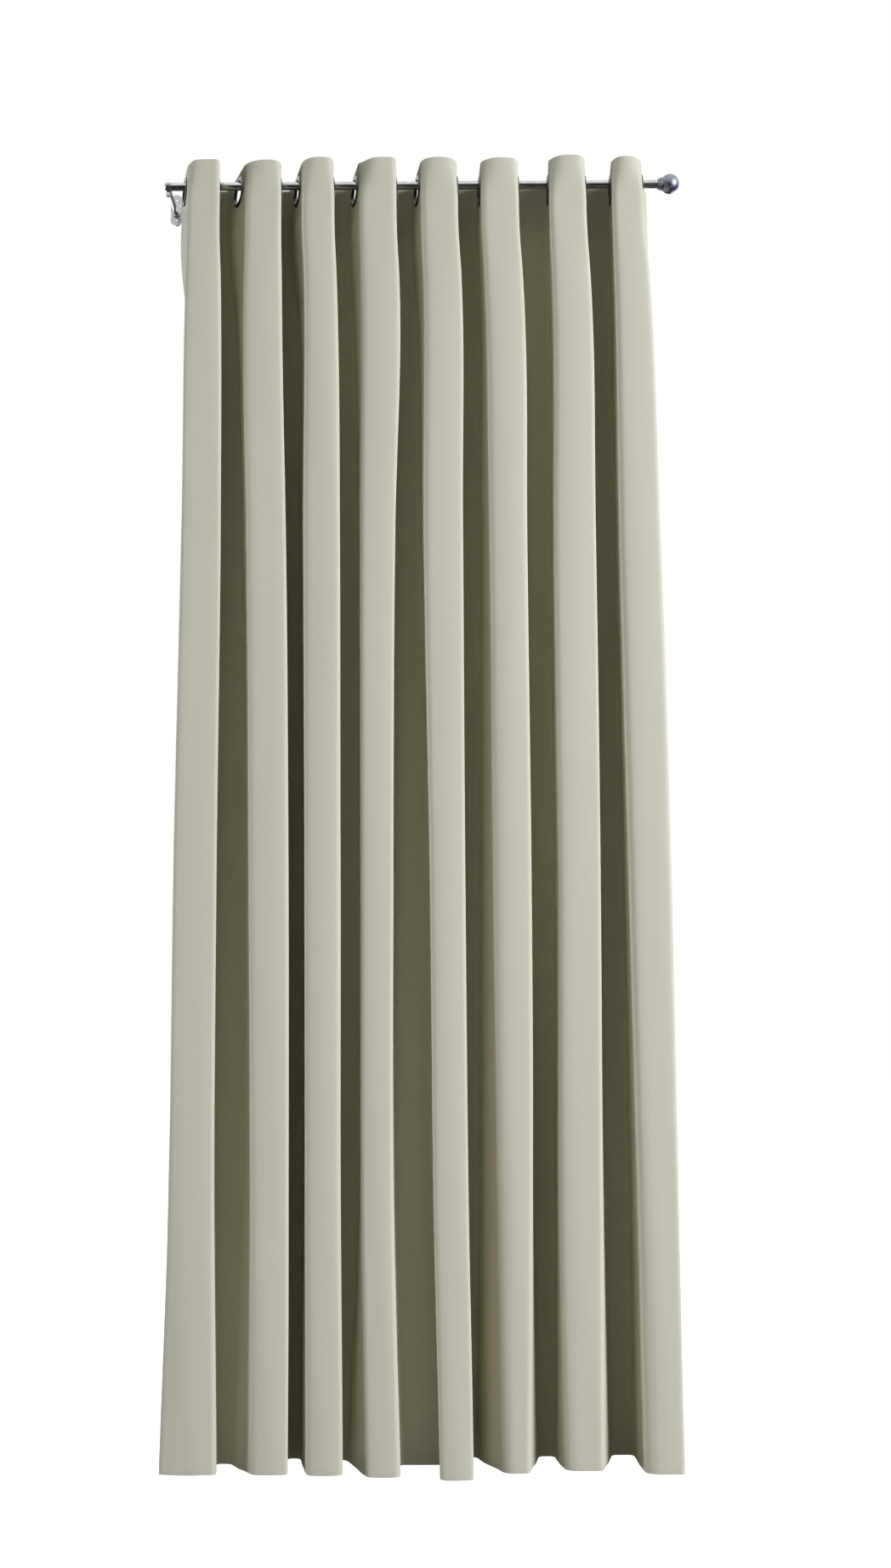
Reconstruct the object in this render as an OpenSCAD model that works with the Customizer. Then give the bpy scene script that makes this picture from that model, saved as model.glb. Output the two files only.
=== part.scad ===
// Eyelet curtain panel hung in deep folds on a round rod, with two wall brackets and a ball finial.
// Frame: +Z up, +Y towards the wall, so the room is on the -Y side. The origin is the centre of the
// four wall screw holes, on the wall's face and level with the rod's axis.

/* [Rod] */
// Outside diameter of the rod
rod_d = 16; // [15:0.5:17]
// Wall thickness of the rod tube
rod_wall = 1; // [0.8:0.1:1.5]
// Distance from the wall to the rod's axis
projection = 90; // [85:1:110]
// Left end of the tube
rod_left_x = -469; // [-476:1:-469]
// Right end of the tube
rod_right_x = 510; // [506:1:516]

/* [Finial] */
// Diameter of the ball
ball_d = 37.5; // [34:0.5:42]
// Diameter of the largest ring on the collar
collar_d = 26; // [24:0.5:28]
// Length of the collar from the rod's end to the ball
collar_len = 9.5; // [9:0.5:12]
// Diameter of the threaded stud
stud_d = 6; // [5:0.5:8]
// Length of the stud inside the rod
stud_len = 16; // [12:1:20]

/* [Brackets] */
// Distance from each bracket to the middle
bracket_x = 463.5; // [463:0.5:464]
// Distance between the two screw holes of a bracket
hole_spacing = 44; // [40:1:50]
// Diameter of a wall screw hole
hole_d = 4.5; // [4:0.1:5]
// Width of the wall plate
plate_w = 24; // [22:1:26]
// Thickness of the wall plate
plate_t = 3; // [2.5:0.5:4]
// Width of the cup along the rod
cup_w = 8; // [7:0.5:9]
// Diameter of the arm
arm_d = 9; // [8:0.5:10]

/* [Panel] */
// Drop from the top edge to the hem
drop = 2438; // [1600:1:2700]
// Height of the top edge above the rod's axis
heading = 25.5; // [22:0.5:30]
// Distance along the flat cloth from one eyelet to the next
eyelet_pitch = 158.75; // [156:0.25:162]
// Flat cloth between an end eyelet and the side edge
side_flap = 79; // [60:1:80]
// Thickness of the cloth
cloth_t = 1.2; // [0.8:0.1:1.6]
// Radius of the bends at the front of a fold
front_r = 14; // [10:1:15]
// Radius of the bends at the back of a fold
back_r = 8; // [6:0.5:9]

/* [Eyelets] */
// Outside diameter of an eyelet
eyelet_d = 60; // [56:1:62]
// Hole through an eyelet
eyelet_bore = 42; // [38:1:44]
// Height of the domed rim above the cloth
rim_h = 3; // [2.5:0.1:3.5]
// Thickness of the stamped metal
rim_t = 0.5; // [0.4:0.1:0.7]

/* [Hidden] */
// Where the left eyelet of each front fold sits along the rod, from the leading edge to the fixed end
left_eyelet_x = [-430, -323, -206, -92, 32, 156, 293, 417];
// Where the right corner of each front fold comes forward
right_corner_x = [-352, -232, -128, -7, 113, 232, 364, 475];
// How far each wall of cloth turns from square to the rod, in degrees
wall_lean = [17, 18, 26, 16, 18, 13.5, 16, 11, 12, 8.5, 3, 6, -2, 4, -3, 0];
last = len(wall_lean) - 1;

function two_digits(n) = n < 10 ? str("0", n) : str(n);
function panel_name(i) = str("cloth_wall_", two_digits(i + 1));
function eyelet_name(i) = str("eyelet_", two_digits(i + 1));
function fold_name(f) = str(f % 2 == 0 ? "cloth_front_fold_" : "cloth_back_fold_", floor(f / 2) + 1);
SIDES = ["left", "right"];

rod_r = rod_d / 2;
bore_r = rod_r - rod_wall;
rod_y = -projection;
fit = 0.05;
face_gap = 0.2;

ball_r = ball_d / 2;
stud_r = stud_d / 2;
rings = 3;
ring_step = collar_len / rings;
ring_r = 0.45 * ring_step;
ring_growth = 1.25;
ball_seat_r = collar_d / 2 - 1.5;
collar_x = rod_right_x + face_gap;
ball_x = collar_x + collar_len + sqrt(ball_r * ball_r - ball_seat_r * ball_seat_r);
insert_len = stud_len + 6;
insert_floor = 2;
cap_lip = 2;
cap_plug = 10;

cup_r = rod_r + 4;
cup_bore_r = rod_r + 0.15;
cup_lip_z = 3;
arm_z = -7;
arm_len = projection - plate_t;
foot_r = arm_d / 2 + 4;
foot_t = 3;
screw_r = 2;
screw_head_r = 5;
screw_head_h = 6;
screw_head_z = -cup_r - 2;
flutes = 12;
flute_r = 0.8;
flute_out = 0.3;

eyelet_slack = 0.3;
eyelet_z = rod_r - eyelet_bore / 2 + eyelet_slack;
rim_mid_r = (eyelet_d + eyelet_bore) / 4;
rim_half_w = (eyelet_d - eyelet_bore) / 4;
rim_lift = cloth_t / 2 + 0.1;
barrel_r = eyelet_bore / 2;
barrel_back = cloth_t / 2 + 0.6;
washer_fit = 0.1;
hole_r = barrel_r + 1;
rim_steps = 8;
bend_steps = 6;
cloth_gap = 0.3;

cloth_colour = [0.74, 0.73, 0.68];
gunmetal = [0.16, 0.16, 0.17];
pewter = [0.42, 0.41, 0.4];
satin_silver = [0.78, 0.78, 0.77];

$fn = 64;

// ---- plan geometry of the folds ----
// Cloth saved by rounding a square corner of radius r
function corner_saving(r) = r * (2 - PI / 2);
function bend_r(f) = f % 2 == 0 ? front_r : back_r;
function side(f) = f % 2 == 0 ? 1 : -1;
// Where the right eyelet of front fold n sits, so that the wall through it reaches the fold's right corner
function right_eyelet_x(n) =
    let (
        a = wall_lean[2 * n],
        b = wall_lean[2 * n + 1],
        spare = eyelet_pitch + 2 * corner_saving(front_r) - right_corner_x[n] + left_eyelet_x[n]
    )
    right_corner_x[n] - tan(b) * spare / (1 / cos(a) + 1 / cos(b) - tan(a));
eyelet_x = [for (n = [0 : len(left_eyelet_x) - 1]) each [left_eyelet_x[n], right_eyelet_x(n)]];
// Distance from the rod's axis to the crest of fold f, so that the cloth keeps its flat length
function depth(f) =
    let (
        a = wall_lean[f],
        b = wall_lean[f + 1],
        spare = eyelet_pitch + 2 * corner_saving(bend_r(f)) - eyelet_x[f + 1] + eyelet_x[f]
    )
    spare / (1 / cos(a) + 1 / cos(b) + side(f) * (tan(b) - tan(a)));
// Direction along wall i from its eyelet towards fold f
function towards(i, f) = side(f) * [sin(wall_lean[i]), -cos(wall_lean[i])];
function eyelet_at(i) = [eyelet_x[i], rod_y];
function corner(i, f) = eyelet_at(i) + depth(f) / cos(wall_lean[i]) * towards(i, f);
// How far the cloth turns where wall i meets the crest of fold f
function turn(i, f) = 90 - side(f) * (i == f ? 1 : -1) * wall_lean[i];
function tangent_len(i, f) = bend_r(f) * tan(turn(i, f) / 2);
function wall_len(i, f) = depth(f) / cos(wall_lean[i]) - tangent_len(i, f) - cloth_gap;
function wall_end(i, f) =
    eyelet_at(i) + towards(i, f) * (f < 0 || f >= last ? side_flap : wall_len(i, f));

function unit(v) = v / norm(v);
function left_of(v) = [-v[1], v[0]];
function turned(v, a) = [v[0] * cos(a) - v[1] * sin(a), v[0] * sin(a) + v[1] * cos(a)];
// Points of an arc of radius r that rounds the corner c between directions d1 and d2
function bend(c, d1, d2, r) =
    let (
        angle = atan2(cross(d1, d2), d1 * d2),
        start = c - d1 * r * tan(abs(angle) / 2),
        middle = start + sign(angle) * r * left_of(d1)
    )
    [for (k = [0 : bend_steps]) middle + turned(start - middle, angle * k / bend_steps)];
function fold_line(f) = concat(
    bend(corner(f, f), towards(f, f), [1, 0], bend_r(f)),
    bend(corner(f + 1, f), [1, 0], -towards(f + 1, f), bend_r(f))
);

// Sideways step from point i of line p to the face of the cloth
function mitre(p, i) =
    let (
        a = unit(p[max(i, 1)] - p[max(i, 1) - 1]),
        b = i < len(p) - 1 ? unit(p[i + 1] - p[i]) : a,
        n = unit(left_of(a) + left_of(b))
    )
    n / (n * left_of(a));

module cloth_strip(p) {
    half = cloth_t / 2;
    translate([0, 0, heading - drop])
        linear_extrude(drop)
            polygon(concat(
                [for (i = [0 : len(p) - 1]) p[i] + half * mitre(p, i)],
                [for (i = [len(p) - 1 : -1 : 0]) p[i] - half * mitre(p, i)]
            ));
}

module at_eyelet(i)
    translate([eyelet_x[i], rod_y, eyelet_z])
        rotate([0, 0, wall_lean[i]])
            rotate([0, 90, 0])
                children();

// ---- cloth ----
module cloth_wall(i) {
    color(cloth_colour)
        difference() {
            cloth_strip([wall_end(i, i % 2 == 0 ? i : i - 1), wall_end(i, i % 2 == 0 ? i - 1 : i)]);
            at_eyelet(i)
                cylinder(h = 10, r = hole_r, center = true);
        }
}

module cloth_fold(f) {
    color(cloth_colour)
        cloth_strip(fold_line(f));
}

// ---- eyelets ----
function rim_arc(inset) = [
    for (k = [0 : rim_steps])
        let (a = 180 - 180 * k / rim_steps)
        [rim_mid_r + (rim_half_w - inset) * cos(a), rim_lift + (rim_h - inset) * sin(a)]
];

module rim_half() {
    outer = rim_arc(0);
    inner = rim_arc(rim_t);
    rotate_extrude()
        polygon(concat(outer, [for (k = [rim_steps : -1 : 0]) inner[k]]));
}

module eyelet(i) {
    color(gunmetal)
        at_eyelet(i) {
            union() {
                rim_half();
                rotate_extrude()
                    translate([barrel_r, -barrel_back])
                        square([rim_t, barrel_back + rim_lift + washer_fit]);
            }
            mirror([0, 0, 1])
                difference() {
                    rim_half();
                    translate([0, 0, -1])
                        cylinder(h = barrel_back + 2, r = barrel_r + rim_t + washer_fit);
                }
        }
}

// ---- rod and finial ----
module along_rod(x)
    translate([x, rod_y, 0])
        rotate([0, 90, 0])
            children();

module rod_tube() {
    color(satin_silver)
        along_rod(rod_left_x)
            difference() {
                cylinder(h = rod_right_x - rod_left_x, r = rod_r);
                translate([0, 0, -1])
                    cylinder(h = rod_right_x - rod_left_x + 2, r = bore_r);
            }
}

module rod_end_cap() {
    color(satin_silver)
        along_rod(rod_left_x) {
            translate([0, 0, -cap_lip])
                cylinder(h = cap_lip, r1 = rod_r - 1, r2 = rod_r);
            cylinder(h = cap_plug, r = bore_r - fit);
        }
}

module finial_insert() {
    color(pewter)
        along_rod(rod_right_x - insert_len)
            difference() {
                cylinder(h = insert_len, r = bore_r - fit);
                translate([0, 0, insert_len - stud_len - insert_floor])
                    cylinder(h = stud_len + insert_floor + 1, r = stud_r + fit);
            }
}

// The collar widens ring by ring from the rod to the ball
module finial_collar() {
    color(pewter)
        along_rod(collar_x)
            difference() {
                rotate_extrude()
                    for (k = [0 : rings - 1]) {
                        ring_out = collar_d / 2 - ring_r - (rings - 1 - k) * ring_growth;
                        translate([0, k * ring_step])
                            square([ring_out, ring_step]);
                        translate([ring_out, (k + 0.5) * ring_step])
                            circle(r = ring_r);
                    }
                translate([0, 0, -1])
                    cylinder(h = collar_len + 2, r = stud_r + fit);
                translate([0, 0, ball_x - collar_x])
                    sphere(r = ball_r + fit, $fn = 96);
            }
}

module finial_ball() {
    color(pewter) {
        translate([ball_x, rod_y, 0])
            sphere(r = ball_r, $fn = 96);
        along_rod(rod_right_x - stud_len)
            cylinder(h = ball_x - rod_right_x + stud_len, r = stud_r);
    }
}

// ---- brackets: the side is -1 for the left one and 1 for the right one ----
module wall_plate(s) {
    hole_z = hole_spacing / 2;
    color(gunmetal)
        translate([s * bracket_x, 0, 0])
            rotate([90, 0, 0])
                difference() {
                    union() {
                        translate([-plate_w / 2, -hole_z, 0])
                            cube([plate_w, hole_spacing, plate_t]);
                        for (z = [-hole_z, hole_z])
                            translate([0, z, 0])
                                cylinder(h = plate_t, r = plate_w / 2);
                    }
                    for (z = [-hole_z, hole_z])
                        translate([0, z, -1])
                            cylinder(h = plate_t + 2, r = hole_d / 2);
                }
}

module bracket_arm(s) {
    color(gunmetal)
        translate([s * bracket_x, rod_y, 0])
            difference() {
                union() {
                    translate([-cup_w / 2, 0, 0])
                        rotate([0, 90, 0])
                            cylinder(h = cup_w, r = cup_r);
                    translate([0, 0, arm_z])
                        rotate([-90, 0, 0])
                            cylinder(h = arm_len, r = arm_d / 2);
                    translate([0, arm_len - foot_t, arm_z])
                        rotate([-90, 0, 0])
                            cylinder(h = foot_t, r = foot_r);
                }
                translate([-cup_w, 0, 0])
                    rotate([0, 90, 0])
                        cylinder(h = 2 * cup_w, r = cup_bore_r);
                translate([-cup_w, -cup_r - 1, cup_lip_z])
                    cube([2 * cup_w, 2 * cup_r + 2, cup_r]);
                translate([-cup_w, -cup_bore_r, 0])
                    cube([2 * cup_w, 2 * cup_bore_r, cup_r]);
                translate([0, 0, -cup_r - 1])
                    cylinder(h = cup_r, r = screw_r + fit);
            }
}

module set_screw(s) {
    shank_top = -rod_r - fit;
    color(pewter)
        translate([s * bracket_x, rod_y, 0]) {
            translate([0, 0, screw_head_z])
                cylinder(h = shank_top - screw_head_z, r = screw_r);
            translate([0, 0, screw_head_z - screw_head_h])
                difference() {
                    cylinder(h = screw_head_h, r = screw_head_r);
                    for (k = [0 : flutes - 1])
                        rotate([0, 0, k * 360 / flutes])
                            translate([screw_head_r + flute_out, 0, -1])
                                cylinder(h = screw_head_h + 2, r = flute_r, $fn = 24);
                }
        }
}

rod_tube();
rod_end_cap();
finial_insert();
finial_collar();
finial_ball();
for (k = [0, 1]) {
    wall_plate(2 * k - 1);
    bracket_arm(2 * k - 1);
    set_screw(2 * k - 1);
}
for (i = [0 : last]) {
    cloth_wall(i);
    eyelet(i);
}
for (f = [0 : last - 1]) {
    cloth_fold(f);
}
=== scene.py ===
"""Looks for the eyelet curtain panel: the draped cloth, its eyelets, the rod and its fittings."""

import math

import bpy
import numpy as np
from mathutils import Matrix, Vector


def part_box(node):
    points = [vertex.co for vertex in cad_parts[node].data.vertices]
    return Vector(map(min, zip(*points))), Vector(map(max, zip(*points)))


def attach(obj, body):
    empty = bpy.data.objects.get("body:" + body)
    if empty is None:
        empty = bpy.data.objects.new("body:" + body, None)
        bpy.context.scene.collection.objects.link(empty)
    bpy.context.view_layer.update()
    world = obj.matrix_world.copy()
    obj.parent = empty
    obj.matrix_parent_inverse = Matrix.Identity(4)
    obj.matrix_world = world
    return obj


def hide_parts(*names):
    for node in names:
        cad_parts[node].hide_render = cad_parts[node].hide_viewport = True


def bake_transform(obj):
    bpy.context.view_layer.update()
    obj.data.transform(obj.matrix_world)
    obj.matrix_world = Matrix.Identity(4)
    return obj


MM = 0.001
EYELETS = 16
FOLDS = EYELETS - 1

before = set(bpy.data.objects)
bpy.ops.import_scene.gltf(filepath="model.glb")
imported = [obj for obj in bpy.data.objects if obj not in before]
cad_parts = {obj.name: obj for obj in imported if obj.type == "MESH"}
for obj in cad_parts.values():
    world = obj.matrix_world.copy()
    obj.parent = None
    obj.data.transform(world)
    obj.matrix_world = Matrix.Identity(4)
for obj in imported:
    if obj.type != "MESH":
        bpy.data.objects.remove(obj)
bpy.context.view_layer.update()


# ---- names and places that model.glb gives ----
def middle(node):
    """The middle of a CAD node's box."""
    lo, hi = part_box(node)
    return (lo + hi) / 2


def eyelet_name(i):
    return f"eyelet_{i + 1:02d}"


def wall_name(i):
    return f"cloth_wall_{i + 1:02d}"


def fold_name(f):
    kind = "front" if f % 2 == 0 else "back"
    return f"cloth_{kind}_fold_{f // 2 + 1}"


def body_of_eyelet(i):
    return "root" if i == EYELETS - 1 else f"glide_{i + 1:02d}"


def wall_slope(i):
    """How far wall i goes along X for each metre towards the room."""
    points = np.array([v.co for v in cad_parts[wall_name(i)].data.vertices])
    return -np.polyfit(points[:, 1], points[:, 0], 1)[0]


def towards_room(f):
    """1 for a front fold and -1 for a back fold."""
    return 1 if f % 2 == 0 else -1


CLOTH = 1.2 * MM
ROD = middle("rod_tube")
EYELET_AT = [middle(eyelet_name(i)) for i in range(EYELETS)]
SLOPE = [wall_slope(i) for i in range(EYELETS)]
TOP_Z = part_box(wall_name(0))[1].z
HEM_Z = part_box(wall_name(0))[0].z


def crest_depth(f):
    """Distance from the rod's axis to the middle of the cloth at the crest of fold f."""
    lo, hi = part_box(fold_name(f))
    return (ROD.y - lo.y if f % 2 == 0 else hi.y - ROD.y) - CLOTH / 2


DEPTH = [crest_depth(f) for f in range(FOLDS)]

# ---- how the cloth differs from its plain CAD solid, in millimetres, fold by fold ----
# Sideways shift of the left and right corners of each front fold at each of the levels, which are shares of
# the way from the heading down to the hem
LEVELS = (0.05, 0.27, 0.54, 0.8, 1.0)
BEND_LEVEL = LEVELS[1]
FRONT_LEFT = [
    (-3, -1, -1, 3, -5),
    (-3, 9, 23, 35, 43),
    (4, 5, 13, 22, 27),
    (2, 1, 3, 6, 18),
    (3, 3, 10, 14, 22),
    (5, 11, 11, 14, 16),
    (3, -3, -6, -15, -11),
    (1, -1, 1, 2, 2),
]
FRONT_RIGHT = [
    (4, 14, 18, 23, 33),
    (2, 16, 26, 34, 38),
    (5, 13, 18, 22, 29),
    (5, -2, -7, -8, 3),
    (6, 5, 3, 5, 11),
    (6, 5, 4, -3, -15),
    (5, 5, 0, -12, -20),
    (9, 16, 18, 14, 11),
]
# The same for the back folds, and how much deeper each fold is at the hem
BACK_LEFT = [
    (5, 18, 28, 40, 57),
    (6, 20, 36, 48, 55),
    (3, 8, 12, 16, 17),
    (4, 8, 8, 8, 20),
    (4, 8, 10, 15, 22),
    (4, 8, 10, 14, 19),
    (4, 8, 10, 8, 14),
]
BACK_RIGHT = [
    (14, 42, 56, 64, 50),
    (14, 27, 37, 43, 42),
    (8, 22, 28, 28, 5),
    (8, 20, 32, 40, 54),
    (2, -2, -8, -15, -24),
    (0, -4, -8, -18, -28),
    (0, -2, -3, -5, -8),
]
BACK_DEEPER = [-28, 0, -9, -39, 7, 18, 21]
FRONT_DEEPER = [0, 0, 0, 0, 11, 0, -4, 0]
# Radius of the bends at the left and right corner of each front fold: below the heading, about a quarter of
# the way down, and at the hem
FRONT_BEND = [
    ((8, 7), (8, 6), (8, 7)),
    ((18, 8), (14, 6), (18, 6)),
    ((20, 8), (14, 6), (10, 8)),
    ((24, 8), (12, 6), (8, 8)),
    ((22, 8), (10, 6), (8, 6)),
    ((30, 8), (44, 6), (50, 6)),
    ((26, 8), (20, 6), (26, 6)),
    ((28, 9), (22, 7), (30, 6)),
]
BACK_BEND = 9
# At the top edge the stiffened heading is pinched. For each front fold: how far its left and right corners sit
# behind the crest, how far they are drawn in, the crown between them, how many times the crest is eased, and
# how much higher than the walls it stands
HEADING = [
    (1, 0, 9, 2, 1, 4, 1.5),
    (7, 5, 4, 4, 6, 14, 3),
    (9, 1, 0, 7, 4, 12, 5),
    (20, 1, 0, 1, 4, 12, 7),
    (6, 6, 2, 9, 6, 24, 6),
    (10, 4, 3, 4, 6, 16, 4.5),
    (18, 1, 0, 8, 5, 20, 9),
    (12, 8, 2, 10, 10, 40, 3.5),
]
# At the hem: the same setbacks and crown, and how much higher the hem is than the longest point of the drop
HEM = [
    (7, 6, 4, 4),
    (3, 2, 3, 3),
    (3, 3, 3, 3),
    (2, 3, 3, -2),
    (3, 3, 3, -4),
    (6, 0, 3, 4),
    (5, 0, 3, 6),
    (9, 1, 4, 2),
]
BODY = (3, 3, 3)
# For the left and the right side: how far the panel's edge stands to the right of its wall, at the top and
# below, and how far the end wall itself moves over below the heading
EDGE_OUT = ((2.5, 24), (24, 8))
END_WALL_OUT = (11, 0)
# The cloth stays flat this far from an eyelet's middle
FLAT_R = 32 * MM
HEADING_END = ROD.z - 62 * MM

HEADING_STITCH_Z = ROD.z - 75 * MM
HEM_HEIGHT = 100 * MM
HEM_STITCH_Z = HEM_Z + HEM_HEIGHT - 3 * MM
SIDE_HEM = 25 * MM
HEM_REACH = 500 * MM
SIDE_STITCH = 22 * MM
FLAP = 79 * MM
PITCH = 158.75 * MM
COLUMNS = 56
FLAP_COLUMNS = 30
ARC_POINTS = 9


def down(z):
    """0 in the heading and 1 at the hem, with a soft start below the heading."""
    share = np.clip((HEADING_END - z) / (HEADING_END - HEM_Z), 0, 1)
    return share * share / (share + 0.02) * 1.02


def along_curve(values, s):
    """A smooth curve through 0 at the heading and the given values at the levels."""
    at, points = np.array([0.0, *LEVELS]), np.array([0.0, *values])
    slopes = np.gradient(points, at)
    slopes[0] = 0
    k = min(int(np.searchsorted(at, s, side="right")) - 1, len(at) - 2)
    width = at[k + 1] - at[k]
    t = (s - at[k]) / width
    start = (1 + 2 * t) * (1 - t) ** 2 * points[k] + t * (1 - t) ** 2 * slopes[k] * width
    end = t * t * (3 - 2 * t) * points[k + 1] + t * t * (t - 1) * slopes[k + 1] * width
    return start + end


def mixed(a, b, share):
    return [x + (y - x) * share for x, y in zip(a, b)]


def front_shape(n, s, heading):
    """Sideways shifts, setbacks, crown and bend radii of front fold n."""
    if s < BEND_LEVEL:
        bends = mixed(*FRONT_BEND[n][:2], s / BEND_LEVEL)
    else:
        bends = mixed(*FRONT_BEND[n][1:], (s - BEND_LEVEL) / (1 - BEND_LEVEL))
    if heading:
        back_left, back_right, in_left, in_right, crown = HEADING[n][:5]
        return (in_left, -in_right), (back_left, back_right), crown, bends
    shifts = (along_curve(FRONT_LEFT[n], s), along_curve(FRONT_RIGHT[n], s))
    *setback, crown = mixed(BODY, HEM[n][:3], s**3) if s > 0 else mixed((0, 0, 0), BODY, 0)
    ease = min(1.0, s / 0.05)
    return shifts, [v * ease for v in setback], crown * ease, bends


def on_wall(i, f, distance):
    """A point on wall i, at a distance from its eyelet towards fold f."""
    side = towards_room(f)
    along = side * np.array([SLOPE[i], -1.0])
    return np.array([EYELET_AT[i].x, ROD.y]) + distance * along / np.linalg.norm(along)


def fold_path(f, s, heading):
    """Corners and bend radii of fold f, from its left wall to its right wall."""
    side = towards_room(f)
    n = f // 2
    if f % 2 == 0:
        shifts, setbacks, crown, bends = front_shape(n, s, heading)
        deeper = FRONT_DEEPER[n] * s**3
    else:
        shifts = (along_curve(BACK_LEFT[n], s), along_curve(BACK_RIGHT[n], s))
        setbacks, crown, bends = (0, 0), 0, (BACK_BEND, BACK_BEND)
        deeper = BACK_DEEPER[n] * s * s
    corners = []
    for k in (0, 1):
        x = EYELET_AT[f + k].x + side * SLOPE[f + k] * DEPTH[f] + shifts[k] * MM
        y = ROD.y - side * (DEPTH[f] + (deeper - setbacks[k]) * MM)
        corners.append((np.array([x, y]), bends[k] * MM))
    if f % 2:
        return corners
    (left, _), (right, _) = corners
    crest = []
    for t in (0.3, 0.5, 0.7):
        level = (left + (right - left) * t)[1]
        full = ROD.y - side * (DEPTH[f] + deeper * MM)
        lift = 4 * t * (1 - t)
        y = level + (full - level) * lift if crown > 0 else level
        crest.append((np.array([left[0] + (right[0] - left[0]) * t, y]), 0.0))
    path = [corners[0], *crest, corners[1]]
    if heading:
        path = [(on_wall(f, f, FLAT_R), 25 * MM), *path, (on_wall(f + 1, f, FLAT_R), 25 * MM)]
    return path


def flap_path(i, s):
    """The cloth beyond an end eyelet: flat round the eyelet, then turned a little aside."""
    f = -1 if i == 0 else FOLDS
    kink, end = on_wall(i, f, FLAT_R), on_wall(i, f, FLAP)
    top, below = EDGE_OUT[0 if i == 0 else 1]
    out = top + (below - top) * smooth_share(s / 0.09)
    shift = (end_wall(i, s) - on_wall(i, f, 0)) * 1.4
    return [(kink + shift, 40 * MM), (end + np.array([out * MM, 0]), 0.0)]


def end_wall(i, s):
    """The middle of an end wall, which is at its eyelet in the heading."""
    out = END_WALL_OUT[0 if i == 0 else 1] * smooth_share(s / 0.09)
    return on_wall(i, i, 0) + np.array([out * MM, 0])


def unit(v):
    return v / np.linalg.norm(v)


def bend(before, corner, after, radius):
    """Points of an arc that rounds a corner."""
    a, b = unit(corner - before), unit(after - corner)
    turn = math.atan2(a[0] * b[1] - a[1] * b[0], a @ b)
    if radius == 0 or abs(turn) < 0.01:
        return [corner]
    room = 0.47 * min(np.linalg.norm(corner - before), np.linalg.norm(after - corner))
    reach = min(radius * math.tan(abs(turn) / 2), room)
    radius = reach / math.tan(abs(turn) / 2)
    start = corner - a * reach
    centre = start + radius * math.copysign(1, turn) * np.array([-a[1], a[0]])
    arm = start - centre
    points = []
    for angle in np.linspace(0, turn, ARC_POINTS):
        c, sn = math.cos(angle), math.sin(angle)
        points.append(centre + np.array([arm[0] * c - arm[1] * sn, arm[0] * sn + arm[1] * c]))
    return points


def wall_share(i):
    """Where the eyelet sits on its wall, as a share from the corner before it, in the heading."""
    before = FLAP if i == 0 else DEPTH[i - 1]
    after = FLAP if i == EYELETS - 1 else DEPTH[i]
    return before / (before + after)


def plan_line(s, heading):
    """The cloth's middle line seen from above, s of the way down: its points, and the index of each seam."""
    path = flap_path(0, s)[::-1]
    seams = []
    folds = [fold_path(f, s, heading) for f in range(FOLDS)]
    for i in range(EYELETS):
        seams.append(len(path))
        if heading or i in (0, EYELETS - 1):
            path.append((end_wall(i, s), 0.0))
        else:
            before, after = folds[i - 1][-1][0], folds[i][0][0]
            path.append((before + (after - before) * WALL_SHARE[i], 0.0))
        if i < FOLDS:
            path += folds[i]
    path += flap_path(EYELETS - 1, s)
    points, at = [path[0][0]], []
    for j in range(1, len(path) - 1):
        if j in seams:
            at.append(len(points))
        points += bend(path[j - 1][0], path[j][0], path[j + 1][0], path[j][1])
    points.append(path[-1][0])
    return np.array(points), at


WALL_SHARE = [wall_share(i) for i in range(EYELETS)]


def resampled(points, count):
    """count + 1 points spaced evenly along a line."""
    along = np.concatenate([[0], np.cumsum(np.linalg.norm(np.diff(points, axis=0), axis=1))])
    at = np.linspace(0, along[-1], count + 1)
    return np.stack([np.interp(at, along, points[:, k]) for k in (0, 1)], axis=1)


def softened(line, passes):
    """The line with its sharpest bends eased; its ends stay."""
    line = line.copy()
    for _ in range(passes):
        line[1:-1] = 0.25 * line[:-2] + 0.5 * line[1:-1] + 0.25 * line[2:]
    return line


def smooth_share(x):
    x = np.clip(x, 0, 1)
    return x * x * (3 - 2 * x)


# ---- rows and columns of the cloth grid ----
def row_heights():
    """Heights of the grid's rows, from the top edge to the hem, closer where something happens."""
    heading = np.arange(TOP_Z - 3 * MM, ROD.z - 68 * MM, -2.8 * MM)
    body = np.arange(ROD.z - 90 * MM, HEM_Z + 112 * MM, -15.5 * MM)
    hem = np.arange(HEM_Z + 88 * MM, HEM_Z + 5 * MM, -12 * MM)
    edges = [TOP_Z, TOP_Z - 0.3 * MM, TOP_Z - 1 * MM, HEM_Z + 1 * MM, HEM_Z + 0.3 * MM, HEM_Z]
    steps = [HEM_Z + HEM_HEIGHT + k * MM for k in (2, 0.8, -0.4)]
    stitches = [z + k * MM for z in (HEADING_STITCH_Z, HEM_STITCH_Z) for k in (1.2, 0, -1.2)]
    return np.array(sorted({*heading, *body, *hem, *edges, *steps, *stitches}, reverse=True))


ROWS = row_heights()


SEAM_COLUMNS = [FLAP_COLUMNS + COLUMNS * i for i in range(EYELETS)]
FLAT = np.concatenate(
    [
        np.linspace(-FLAP, 0, FLAP_COLUMNS + 1)[:-1],
        np.linspace(0, PITCH * FOLDS, COLUMNS * FOLDS + 1)[:-1],
        PITCH * FOLDS + np.linspace(0, FLAP, FLAP_COLUMNS + 1),
    ]
)


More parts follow.
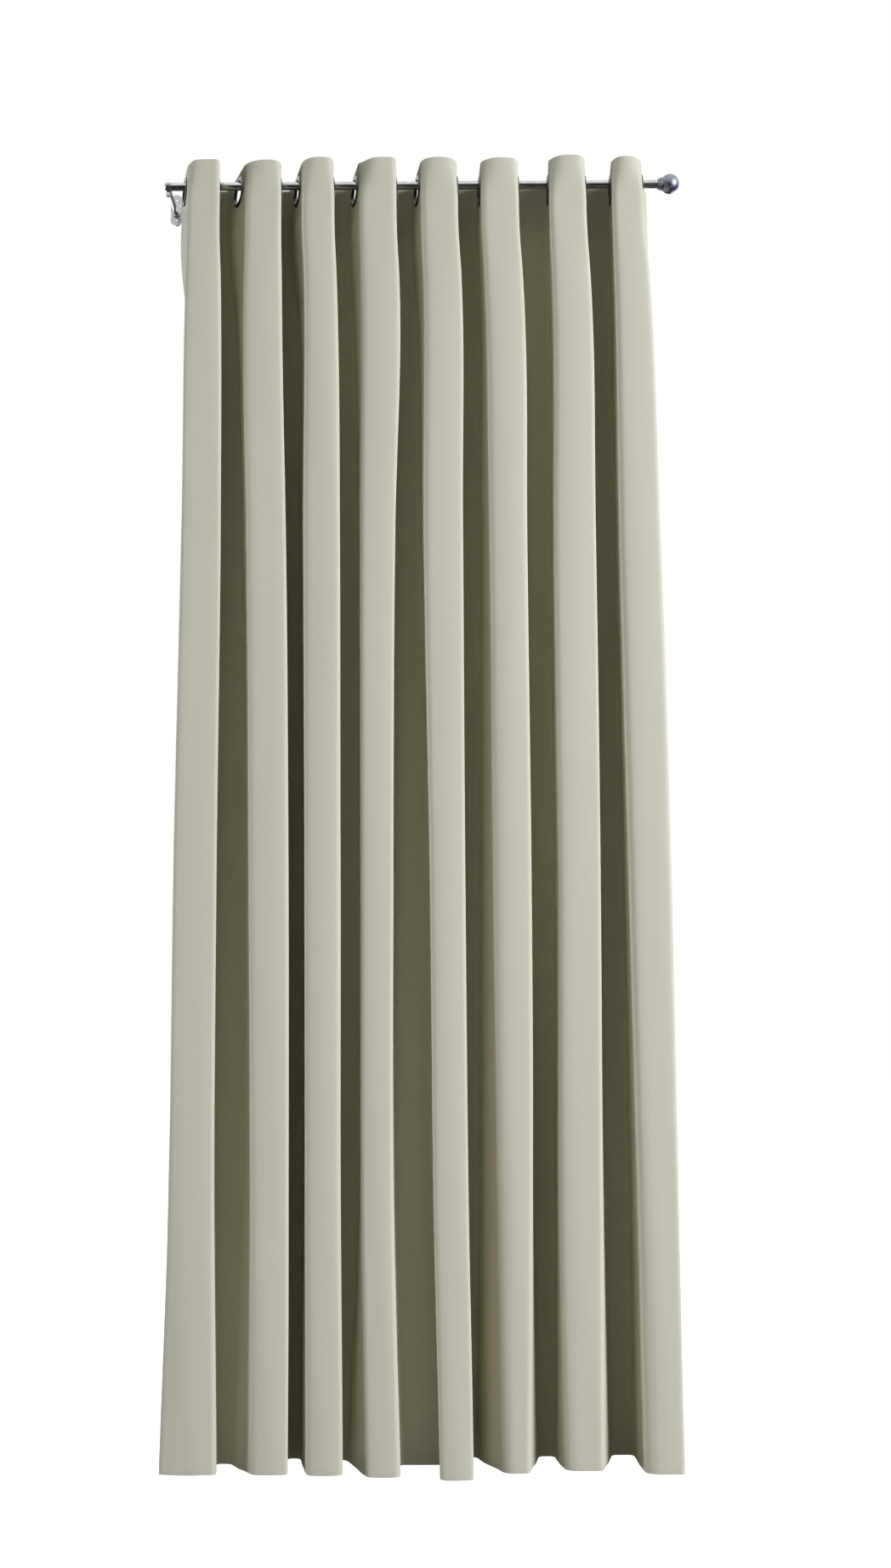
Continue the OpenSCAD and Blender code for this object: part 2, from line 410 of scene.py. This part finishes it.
def cloth_row(s, heading):
    """Middle line of the cloth s of the way down, one point for each column of the grid."""
    points, seams = plan_line(s, heading)
    parts = [resampled(points[: seams[0] + 1], FLAP_COLUMNS)[:-1]]
    for f in range(FOLDS):
        parts.append(resampled(points[seams[f] : seams[f + 1] + 1], COLUMNS)[:-1])
    parts.append(resampled(points[seams[-1] :], FLAP_COLUMNS))
    row = softened(np.concatenate(parts), 2)
    if heading:
        margin = math.ceil(FLAT_R / PITCH * COLUMNS)
        for n, shape in enumerate(HEADING):
            crest = slice(SEAM_COLUMNS[2 * n] + margin, SEAM_COLUMNS[2 * n + 1] - margin + 1)
            row[crest] = softened(row[crest], shape[5])
    return row


def cloth_grid():
    """Middle line of the cloth at every row."""
    top = cloth_row(0, True)
    grid = []
    for z in ROWS:
        share = smooth_share((z - HEADING_END) / (TOP_Z - HEADING_END))
        grid.append((1 - share) * cloth_row(down(z), False) + share * top)
    return np.array(grid)


def lift():
    """How much higher the cloth is at the hem and at the top edge, easing out between them."""
    u, v = np.meshgrid(FLAT, ROWS)
    middles = [PITCH * (2 * n + 0.5) for n in range(len(HEM))]
    hem = np.zeros_like(u)
    top = np.zeros_like(u)
    for middle_u, low, high in zip(middles, HEM, HEADING):
        nearness = smooth_share(1.35 - np.abs(u - middle_u) / (PITCH / 2))
        hem += nearness * low[3] * MM
        top += nearness * high[6] * MM
    near_hem = smooth_share((HEM_Z + HEM_REACH - v) / HEM_REACH)
    near_top = smooth_share((v - HEADING_END) / (TOP_Z - HEADING_END))
    return hem * near_hem + top * near_top


def ripples():
    """Slight unevenness of the hang, towards the room, growing below the heading."""
    u, v = np.meshgrid(FLAT, ROWS)
    grow = smooth_share((ROD.z - 0.1 - v) / 0.5)
    slow = 1.3 * np.sin(2 * math.pi * (u / 0.47 + 0.22 * v) + 1.7 * np.sin(1.9 * v))
    mid = 0.7 * np.sin(2 * math.pi * (u / 0.173 - 0.31 * v) + 2.3 * np.sin(1.1 * v + 9 * u))
    fine = 0.25 * np.sin(2 * math.pi * (u / 0.052 + 0.6 * v) + 3.0 * np.sin(2.7 * v))
    return grow * (slow + mid + fine) * MM


def outward(grid):
    """Unit vectors in plan, square to the cloth, on the side that faces the room at a front fold."""
    along = np.gradient(grid, axis=1)
    along /= np.linalg.norm(along, axis=2, keepdims=True)
    return np.stack([along[..., 1], -along[..., 0]], axis=2)


def edge_share(distance):
    """How full the thickness is at this distance from a cut or turned edge."""
    return np.interp(distance, [0, 0.3 * MM, 1 * MM], [0.4, 0.8, 1.0])


def faces_of_cloth(grid):
    """The room-side and wall-side surfaces of the cloth, with its turned hems and stitch grooves."""
    u, v = np.meshgrid(FLAT, ROWS)
    to_side = np.minimum(u + FLAP, PITCH * FOLDS + FLAP - u)
    to_hem = v - HEM_Z
    normal = outward(grid)
    rim = edge_share(TOP_Z - v) * edge_share(to_hem) * edge_share(to_side)
    turned = 0.5 * smooth_share((v - HEADING_STITCH_Z + 4 * MM) / (2 * MM))
    turned = np.maximum(turned, 1.3 * smooth_share((HEM_HEIGHT + 1.5 * MM - to_hem) / (2 * MM)))
    turned = np.maximum(turned, 1.1 * smooth_share((SIDE_HEM + 2 * MM - to_side) / (3 * MM)))
    groove = np.zeros_like(u)
    for gap in (v - HEADING_STITCH_Z, v - HEM_STITCH_Z):
        groove = np.maximum(groove, np.exp(-((gap / (1.1 * MM)) ** 2)))
    groove = np.maximum(groove, np.exp(-(((to_side - SIDE_STITCH) / (1.8 * MM)) ** 2)))
    room = (CLOTH / 2 * rim - 0.12 * MM * groove)[..., None]
    wall = ((CLOTH / 2 + turned * MM) * rim - 0.12 * MM * groove)[..., None]
    height = (v + lift())[..., None]
    front = np.concatenate([grid + normal * room, height], axis=2)
    back = np.concatenate([grid - normal * wall, height], axis=2)
    return front, back


# ---- mesh helpers ----
def new_piece(name, verts, faces, material, sharp=50.0):
    mesh = bpy.data.meshes.new(name)
    mesh.from_pydata([tuple(p) for p in verts], [], [tuple(f) for f in faces])
    mesh.materials.append(material)
    mesh.validate()
    mesh.polygons.foreach_set("use_smooth", [True] * len(mesh.polygons))
    mesh.set_sharp_from_angle(angle=math.radians(sharp))
    mesh.update()
    obj = bpy.data.objects.new(name, mesh)
    bpy.context.scene.collection.objects.link(obj)
    return obj


def slab(front, back, keep):
    """Vertices, faces and the used grid points of a closed skin over the kept cells of two matching grids."""
    rows, columns = front.shape[:2]
    index = np.arange(rows * columns).reshape(rows, columns)
    shift = rows * columns
    faces = []
    for r, c in np.argwhere(keep):
        a, b, d, e = index[r, c], index[r, c + 1], index[r + 1, c + 1], index[r + 1, c]
        faces.append((a, e, d, b))
        faces.append((a + shift, b + shift, d + shift, e + shift))
        sides = [(-1, 0, a, b), (0, 1, b, d), (1, 0, d, e), (0, -1, e, a)]
        for dr, dc, p, q in sides:
            inside = 0 <= r + dr < rows - 1 and 0 <= c + dc < columns - 1
            if not (inside and keep[r + dr, c + dc]):
                faces.append((p, q, q + shift, p + shift))
    faces = np.array(faces)
    used, faces = np.unique(faces, return_inverse=True)
    verts = np.concatenate([front.reshape(-1, 3), back.reshape(-1, 3)])[used]
    return verts, faces.reshape(-1, 4), used % shift


def add_uv(obj, coordinates):
    """A UV map that holds the place of each vertex on the flat cloth, in metres."""
    layer = obj.data.uv_layers.new(name="flat")
    loops = np.empty(len(obj.data.loops), np.int32)
    obj.data.loops.foreach_get("vertex_index", loops)
    layer.data.foreach_set("uv", coordinates[loops].astype(np.float32).ravel())


# ---- materials ----
def node_material(name):
    material = bpy.data.materials.new(name)
    material.use_nodes = True
    nodes, links = material.node_tree.nodes, material.node_tree.links
    return material, nodes, links, nodes["Principled BSDF"]


def mapped(nodes, links, source, scale, rotation=(0, 0, 0)):
    """A mapping node that scales a coordinate."""
    mapping = nodes.new("ShaderNodeMapping")
    mapping.inputs["Scale"].default_value = scale
    mapping.inputs["Rotation"].default_value = rotation
    links.new(source, mapping.inputs["Vector"])
    return mapping.outputs["Vector"]


def noise(nodes, links, vector, scale, detail=3.0):
    texture = nodes.new("ShaderNodeTexNoise")
    texture.inputs["Scale"].default_value = scale
    texture.inputs["Detail"].default_value = detail
    links.new(vector, texture.inputs["Vector"])
    return texture.outputs["Fac"]


def ramp(nodes, links, value, stops):
    """A colour ramp from (position, colour) stops."""
    node = nodes.new("ShaderNodeValToRGB")
    elements = node.color_ramp.elements
    for k, (position, colour) in enumerate(stops):
        element = elements[k] if k < 2 else elements.new(position)
        element.position = position
        element.color = (*colour, 1)
    links.new(value, node.inputs["Fac"])
    return node.outputs["Color"]


def math_node(nodes, links, operation, a, b):
    node = nodes.new("ShaderNodeMath")
    node.operation = operation
    for k, value in enumerate((a, b)):
        if isinstance(value, (int, float)):
            node.inputs[k].default_value = value
        else:
            links.new(value, node.inputs[k])
    return node.outputs[0]


def bump(nodes, links, height, distance, strength, normal=None):
    node = nodes.new("ShaderNodeBump")
    node.inputs["Distance"].default_value = distance
    node.inputs["Strength"].default_value = strength
    links.new(height, node.inputs["Height"])
    if normal is not None:
        links.new(normal, node.inputs["Normal"])
    return node.outputs["Normal"]


CLOTH_LIGHT = (0.600, 0.578, 0.405)
CLOTH_DARK = (0.570, 0.548, 0.378)


def cloth_material():
    """Close-woven blackout cloth: fine threads across and down, soft slubs and a faint sheen."""
    material, nodes, links, shader = node_material("woven_cloth")
    flat = nodes.new("ShaderNodeUVMap")
    flat.uv_map = "flat"
    flat = flat.outputs["UV"]
    cloudy = noise(nodes, links, mapped(nodes, links, flat, (5, 1.2, 1)), 1.0, 4)
    slub = noise(nodes, links, mapped(nodes, links, flat, (900, 45, 1)), 1.0, 2)
    tone = math_node(nodes, links, "ADD", math_node(nodes, links, "MULTIPLY", slub, 0.4), cloudy)
    links.new(
        ramp(nodes, links, tone, [(0.45, CLOTH_DARK), (0.95, CLOTH_LIGHT)]),
        shader.inputs["Base Color"],
    )
    threads = []
    for direction in ("X", "Y"):
        wave = nodes.new("ShaderNodeTexWave")
        wave.bands_direction = direction
        wave.inputs["Scale"].default_value = 260
        wave.inputs["Distortion"].default_value = 0.6
        wave.inputs["Detail"].default_value = 1
        links.new(flat, wave.inputs["Vector"])
        threads.append(wave.outputs["Fac"])
    weave = math_node(nodes, links, "MULTIPLY", *threads)
    soft = bump(nodes, links, slub, 0.25 * MM, 0.25)
    links.new(bump(nodes, links, weave, 0.12 * MM, 0.3, soft), shader.inputs["Normal"])
    shader.inputs["Roughness"].default_value = 0.88
    shader.inputs["Specular IOR Level"].default_value = 0.15
    shader.inputs["Sheen Weight"].default_value = 0.05
    shader.inputs["Sheen Roughness"].default_value = 0.5
    return material


def thread_material():
    material, nodes, links, shader = node_material("sewing_thread")
    position = nodes.new("ShaderNodeTexCoord").outputs["Object"]
    twist = noise(nodes, links, position, 2500, 1)
    links.new(
        ramp(nodes, links, twist, [(0.3, (0.55, 0.53, 0.37)), (0.7, (0.61, 0.59, 0.42))]),
        shader.inputs["Base Color"],
    )
    shader.inputs["Roughness"].default_value = 0.6
    return material


def metal_material(name, dark, light, roughness, streak=(30, 900, 900), coat=0.0):
    """Metal with fine streaks, a little uneven in tone and gloss."""
    material, nodes, links, shader = node_material(name)
    position = nodes.new("ShaderNodeTexCoord").outputs["Object"]
    streaks = noise(nodes, links, mapped(nodes, links, position, streak), 1.0, 4)
    patches = noise(nodes, links, position, 60, 3)
    tone = math_node(nodes, links, "MULTIPLY", streaks, patches)
    links.new(ramp(nodes, links, tone, [(0.12, dark), (0.4, light)]), shader.inputs["Base Color"])
    rough = ramp(
        nodes,
        links,
        streaks,
        [(0.3, (roughness * 0.8,) * 3), (0.7, (roughness * 1.25,) * 3)],
    )
    links.new(rough, shader.inputs["Roughness"])
    links.new(bump(nodes, links, streaks, 0.05 * MM, 0.15), shader.inputs["Normal"])
    shader.inputs["Metallic"].default_value = 1.0
    shader.inputs["Coat Weight"].default_value = coat
    shader.inputs["Coat Roughness"].default_value = 0.15
    return material


CLOTH_LOOK = cloth_material()
THREAD_LOOK = thread_material()
ROD_LOOK = metal_material("satin_rod_steel", (0.40, 0.395, 0.385), (0.58, 0.57, 0.555), 0.24)
FINIAL_LOOK = metal_material(
    "pewter", (0.17, 0.185, 0.205), (0.29, 0.31, 0.34), 0.42, (200, 200, 200), 0.1
)
EYELET_LOOK = metal_material(
    "gunmetal", (0.025, 0.025, 0.027), (0.06, 0.06, 0.063), 0.24, (150, 150, 150), 0.3
)
BRACKET_LOOK = metal_material(
    "satin_nickel", (0.38, 0.375, 0.36), (0.55, 0.54, 0.52), 0.35, (120, 120, 120)
)
STEEL_LOOK = metal_material("turned_steel", (0.35, 0.35, 0.35), (0.55, 0.55, 0.55), 0.3)


# ---- camera, light and floor ----
EYE = Vector((81 * MM, ROD.y - 2.743, TOP_Z - 1.668))
CAMERA_PITCH = math.radians(9.0)
CAMERA_ROLL = math.radians(-0.33)
LENS = 34.17


def add_camera():
    data = bpy.data.cameras.new("camera")
    data.lens = LENS
    data.sensor_width = 36
    data.clip_start = 0.01
    data.clip_end = 100
    camera = bpy.data.objects.new("camera", data)
    camera.matrix_world = (
        Matrix.Translation(EYE)
        @ Matrix.Rotation(math.pi / 2 + CAMERA_PITCH, 4, "X")
        @ Matrix.Rotation(CAMERA_ROLL, 4, "Z")
    )
    bpy.context.scene.collection.objects.link(camera)
    bpy.context.scene.camera = camera


def add_area_light(name, place, target, size, power, colour=(1, 1, 1)):
    data = bpy.data.lights.new(name, "AREA")
    data.shape = "RECTANGLE"
    data.size, data.size_y = size
    data.energy = power
    data.color = colour
    light = bpy.data.objects.new(name, data)
    light.location = place
    light.rotation_euler = (Vector(target) - Vector(place)).to_track_quat("-Z", "Y").to_euler()
    bpy.context.scene.collection.objects.link(light)
    return light


def add_floor():
    """A pale floor that the camera sees nearly white, so that only the soft shadow shows on it."""
    half = 15.0
    z = HEM_Z - 12 * MM
    corners = [(-half, -half, z), (half, -half, z), (half, half, z), (-half, half, z)]
    material, nodes, links, shader = node_material("pale_floor")
    shader.inputs["Base Color"].default_value = (0.4, 0.4, 0.4, 1)
    shader.inputs["Roughness"].default_value = 0.9
    glow = nodes.new("ShaderNodeEmission")
    glow.inputs["Strength"].default_value = 1.0
    both = nodes.new("ShaderNodeAddShader")
    links.new(shader.outputs[0], both.inputs[0])
    links.new(glow.outputs[0], both.inputs[1])
    path = nodes.new("ShaderNodeLightPath")
    dim = nodes.new("ShaderNodeBsdfDiffuse")
    dim.inputs["Color"].default_value = (0.06, 0.06, 0.06, 1)
    seen = shader
    for ray, other in (("Is Glossy Ray", dim), ("Is Camera Ray", both)):
        mix = nodes.new("ShaderNodeMixShader")
        links.new(path.outputs[ray], mix.inputs[0])
        links.new(seen.outputs[0], mix.inputs[1])
        links.new(other.outputs[0], mix.inputs[2])
        seen = mix
    links.new(seen.outputs[0], nodes["Material Output"].inputs["Surface"])
    floor = new_piece("floor", corners, [(0, 1, 2, 3)], material)


def add_world():
    """White behind everything, for the metal to reflect a bright room above the horizon and a dim one below
    it, and little light for the cloth's folds."""
    world = bpy.data.worlds.new("studio")
    world.use_nodes = True
    nodes, links = world.node_tree.nodes, world.node_tree.links
    path = nodes.new("ShaderNodeLightPath")
    shader = nodes["Background"]
    shader.inputs["Color"].default_value = (0.93, 0.96, 1.0, 1)
    shader.inputs["Strength"].default_value = 0.01
    direction = nodes.new("ShaderNodeSeparateXYZ")
    links.new(nodes.new("ShaderNodeTexCoord").outputs["Generated"], direction.inputs[0])
    horizon = nodes.new("ShaderNodeMapRange")
    horizon.interpolation_type = "SMOOTHSTEP"
    for socket, value in (("From Min", -0.05), ("From Max", 0.35), ("To Min", 0.06), ("To Max", 1.25)):
        horizon.inputs[socket].default_value = value
    links.new(direction.outputs["Z"], horizon.inputs["Value"])
    for ray in ("Is Glossy Ray", "Is Camera Ray"):
        seen = nodes.new("ShaderNodeBackground")
        seen.inputs["Color"].default_value = (1, 1, 1, 1)
        seen.inputs["Strength"].default_value = 1.0
        if ray == "Is Glossy Ray":
            links.new(horizon.outputs["Result"], seen.inputs["Strength"])
        mix = nodes.new("ShaderNodeMixShader")
        links.new(path.outputs[ray], mix.inputs[0])
        links.new(shader.outputs[0], mix.inputs[1])
        links.new(seen.outputs[0], mix.inputs[2])
        shader = mix
    links.new(shader.outputs[0], nodes["World Output"].inputs["Surface"])
    bpy.context.scene.world = world


def around(centre, turn, away, up):
    """A place at a turn in degrees from straight in front of the panel, to the right."""
    angle = math.radians(turn)
    return centre + Vector((away * math.sin(angle), -away * math.cos(angle), up))


def add_studio():
    centre = Vector((30 * MM, ROD.y, (TOP_Z + HEM_Z) / 2))
    cool = (0.80, 0.81, 1.0)
    add_area_light("key", around(centre, 55, 6.0, 0.7), centre, (3.1, 4.6), 596, cool)
    add_area_light("fill", around(centre, -77, 4.2, 0.5), centre, (1.2, 3.2), 118, cool)
    add_area_light("top", (0, -2.0, 3.0), centre, (3.0, 1.5), 8, cool)
    add_area_light("back_left", around(centre, -150, 4.2, 0.4), centre, (1.4, 3.0), 80, cool)
    add_area_light("back_right", around(centre, 145, 4.2, 0.4), centre, (1.4, 3.0), 70, cool)
    add_world()
    add_floor()
    bpy.context.scene.view_settings.view_transform = "Standard"


# ---- the cloth ----
HOLE_R = 25 * MM


def kept_cells(columns, eyelets):
    """Which cells of the grid are cloth, and not the hole under an eyelet."""
    u = (FLAT[columns[0] : columns[1]] + FLAT[columns[0] + 1 : columns[1] + 1]) / 2
    z = (ROWS[:-1] + ROWS[1:]) / 2
    keep = np.ones((len(z), len(u)), bool)
    for i in eyelets:
        keep &= np.hypot(u[None, :] - PITCH * i, z[:, None] - EYELET_AT[i].z) > HOLE_R
    return keep


def bent_between(piece):
    """Bakes the piece's placing into its mesh; nothing here makes it bend between the bodies of the eyelets."""
    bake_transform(piece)


def cloth_piece(name, front, back, columns, eyelets):
    """One stretch of the cloth between two columns of the grid, and the flat place of each vertex."""
    part = slice(columns[0], columns[1] + 1)
    verts, faces, used = slab(front[:, part], back[:, part], kept_cells(columns, eyelets))
    piece = new_piece(name, verts, faces, CLOTH_LOOK)
    u, v = np.meshgrid(FLAT[part], ROWS)
    place = np.stack([u.ravel()[used], v.ravel()[used]], axis=1)
    add_uv(piece, place)
    return piece, place[:, 0]


# ---- stitching ----
STITCH = 3.2 * MM
STITCH_GAP = 0.8 * MM
THREAD_R = 0.28 * MM


def stitch_mesh(a, b, out):
    """A short thread from a to b that dips into the cloth at both ends."""
    along = b - a
    side = unit(np.cross(along, out))
    verts = []
    for t, lift, width in ((0, -0.3, 0.5), (0.2, 0.6, 1), (0.5, 0.9, 1), (0.8, 0.6, 1), (1, -0.3, 0.5)):
        middle_point = a + along * t + out * THREAD_R * lift
        for k in range(6):
            angle = k * math.pi / 3
            ring = math.cos(angle) * side + math.sin(angle) * out
            verts.append(middle_point + ring * THREAD_R * width)
    faces = []
    for r in range(4):
        for k in range(6):
            n = (k + 1) % 6
            faces.append((6 * r + k, 6 * r + n, 6 * r + 6 + n, 6 * r + 6 + k))
    return np.array(verts), faces


def level_runs(surface, columns):
    """The heading's and the hem's lines of stitches: points on the surface, and their flat places."""
    part = slice(columns[0], columns[1] + 1)
    rows = [int(np.argmin(np.abs(ROWS - z))) for z in (HEADING_STITCH_Z, HEM_STITCH_Z)]
    return [(surface[row, part], FLAT[part]) for row in rows]


def side_run(surface, at):
    """The line of stitches down a side hem."""
    column = int(np.argmin(np.abs(FLAT - at)))
    rows = np.flatnonzero(ROWS > HEM_STITCH_Z)
    return surface[rows, column], np.full(len(rows), FLAT[column])


def stitches(name, runs):
    """One piece that holds every stitch along the runs, and the place of each vertex on the flat cloth."""
    verts, faces, places = [], [], []
    for line, flat_place in runs:
        along = np.concatenate([[0], np.cumsum(np.linalg.norm(np.diff(line, axis=0), axis=1))])
        count = int(along[-1] / (STITCH + STITCH_GAP))
        for k in range(count):
            ends = (k + 0.5) * along[-1] / count + np.array([-STITCH / 2, STITCH / 2])
            a, b = (np.array([np.interp(e, along, line[:, j]) for j in range(3)]) for e in ends)
            direction = unit(b - a)
            level = np.array([0, 0, 1.0]) if abs(direction[2]) < 0.5 else None
            out = np.cross(direction, level) if level is not None else side_out(line, direction)
            mesh_verts, mesh_faces = stitch_mesh(a, b, unit(out))
            faces += [tuple(j + sum(map(len, verts)) for j in face) for face in mesh_faces]
            verts.append(mesh_verts)
            places.append(np.full(len(mesh_verts), np.interp(ends.mean(), along, flat_place)))
    piece = new_piece(name, np.concatenate(verts), faces, THREAD_LOOK, 80)
    return piece, np.concatenate(places)


def side_out(line, direction):
    """Square to a side hem that runs down the panel, towards the room side of the cloth."""
    flap_normal = np.array([-1.0, 0.0, 0.0]) if line[0, 0] < 0 else np.array([1.0, 0.0, 0.0])
    return flap_normal - direction * (flap_normal @ direction)


def make_cloth():
    grid = cloth_grid()
    grid = grid + outward(grid) * ripples()[..., None]
    front, back = faces_of_cloth(grid)
    for f in range(FOLDS):
        columns = (SEAM_COLUMNS[f], SEAM_COLUMNS[f + 1])
        number = f"{f + 1:02d}"
        piece, places = cloth_piece(f"cloth_panel_{number}", front, back, columns, (f, f + 1))
        bent_between(piece)
        thread, places = stitches(f"stitching_{number}", level_runs(front, columns))
        bent_between(thread)
        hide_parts(fold_name(f), wall_name(f))
    width = PITCH * FOLDS
    edges = {
        "left": (0, (0, SEAM_COLUMNS[0]), SIDE_STITCH - FLAP),
        "right": (EYELETS - 1, (SEAM_COLUMNS[-1], len(FLAT) - 1), width + FLAP - SIDE_STITCH),
    }
    for side, (i, columns, at) in edges.items():
        piece, _ = cloth_piece(f"cloth_edge_{side}", front, back, columns, (i,))
        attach(piece, body_of_eyelet(i))
        runs = [*level_runs(front, columns), side_run(front, at)]
        thread, _ = stitches(f"stitching_edge_{side}", runs)
        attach(thread, body_of_eyelet(i))
        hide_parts(wall_name(i))


# ---- eyelets ----
RIM_INNER = 21 * MM
RIM_OUTER = 30 * MM
RIM_HEIGHT = 3 * MM
SHEET_METAL = 0.5 * MM
RIM_TURNS = 96


def rim_profile():
    """Closed outline of a pressed eyelet and its washer, as (radius, height) round the cloth's edge."""
    lift = CLOTH / 2 + 0.1 * MM
    mid, half = (RIM_INNER + RIM_OUTER) / 2, (RIM_OUTER - RIM_INNER) / 2
    outer = []
    for k in range(17):
        angle = math.pi * k / 16
        fullness = math.sin(angle) ** 0.8
        outer.append((mid + half * math.cos(angle), lift + RIM_HEIGHT * fullness))
    inner = []
    for k in range(16, -1, -1):
        angle = math.pi * k / 16
        fullness = math.sin(angle) ** 0.8
        radius = mid + (half - SHEET_METAL) * math.cos(angle)
        inner.append((radius, lift + (RIM_HEIGHT - SHEET_METAL) * fullness))
    upper = outer
    lower = [(r, -h) for r, h in reversed(outer)]
    inside_lower = [(r, -h) for r, h in reversed(inner)]
    return [*upper, *lower, *inside_lower, *inner]


def lathe(name, profile, turns, placing, material):
    """A closed outline turned about Z and then placed."""
    rings = np.array(profile)
    verts = []
    for k in range(turns):
        angle = 2 * math.pi * k / turns
        c, s = math.cos(angle), math.sin(angle)
        verts += [placing @ Vector((r * c, r * s, h)) for r, h in rings]
    count = len(rings)
    faces = []
    for k in range(turns):
        a, b = k * count, (k + 1) % turns * count
        for j in range(count):
            n = (j + 1) % count
            faces.append((a + j, b + j, b + n, a + n))
    return new_piece(name, verts, faces, material, 40)


def make_eyelets():
    profile = rim_profile()
    for i in range(EYELETS):
        lean = math.atan(SLOPE[i])
        placing = (
            Matrix.Translation(EYELET_AT[i])
            @ Matrix.Rotation(lean, 4, "Z")
            @ Matrix.Rotation(math.pi / 2, 4, "Y")
        )
        ring = lathe(f"eyelet_ring_{i + 1:02d}", profile, RIM_TURNS, placing, EYELET_LOOK)
        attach(ring, body_of_eyelet(i))
        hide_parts(eyelet_name(i))


# ---- rod, finial and brackets keep their CAD shapes ----
def finish_hardware():
    looks = {
        "rod_tube": ROD_LOOK,
        "rod_end_cap": ROD_LOOK,
        "finial_insert": STEEL_LOOK,
        "finial_collar": FINIAL_LOOK,
        "finial_ball": FINIAL_LOOK,
    }
    for side in ("left", "right"):
        looks[f"wall_plate_{side}"] = BRACKET_LOOK
        looks[f"bracket_arm_{side}"] = BRACKET_LOOK
        looks[f"set_screw_{side}"] = STEEL_LOOK
    for name, look in looks.items():
        for material_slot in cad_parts[name].material_slots:
            material_slot.material = look


add_camera()
add_studio()
make_cloth()
make_eyelets()
finish_hardware()
